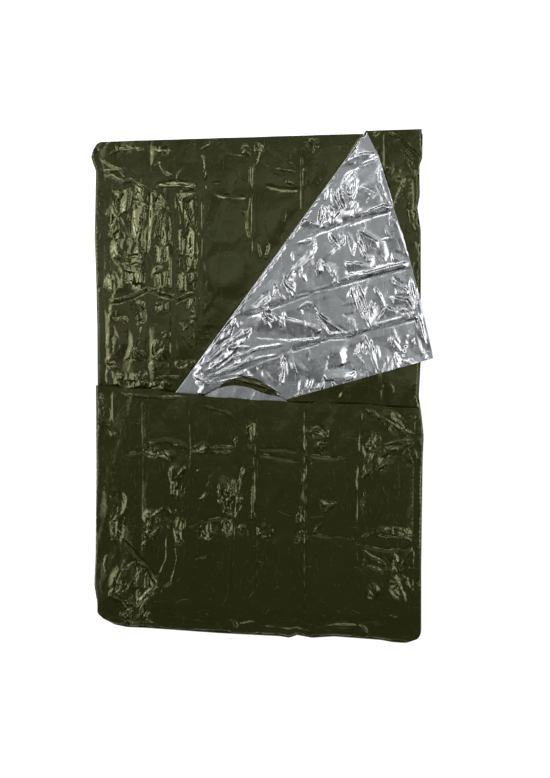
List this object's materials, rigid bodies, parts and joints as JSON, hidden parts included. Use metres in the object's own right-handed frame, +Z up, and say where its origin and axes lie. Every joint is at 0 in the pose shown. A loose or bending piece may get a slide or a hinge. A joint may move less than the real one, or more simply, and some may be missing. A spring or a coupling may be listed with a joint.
{
  "type": "emergency foil blanket",
  "caption": "A folded sheet of coated film, olive outside and silver inside, in three layers with its lower third turned up over the front and one corner turned back",
  "frame": {"origin": "middle of the blanket's footprint, on the surface it lies on", "axes": "+Y along the longer side, towards the end where the corner is turned back; +X to the right of the front; +Z up from the surface, through the layers"},
  "size_m": [0.7503, 1.0722, 0.0156],
  "materials": {
    "film": "glossy, creased"
  },
  "bodies": {
    "root": {"blanket": "film"}
  },
  "joints": []
}
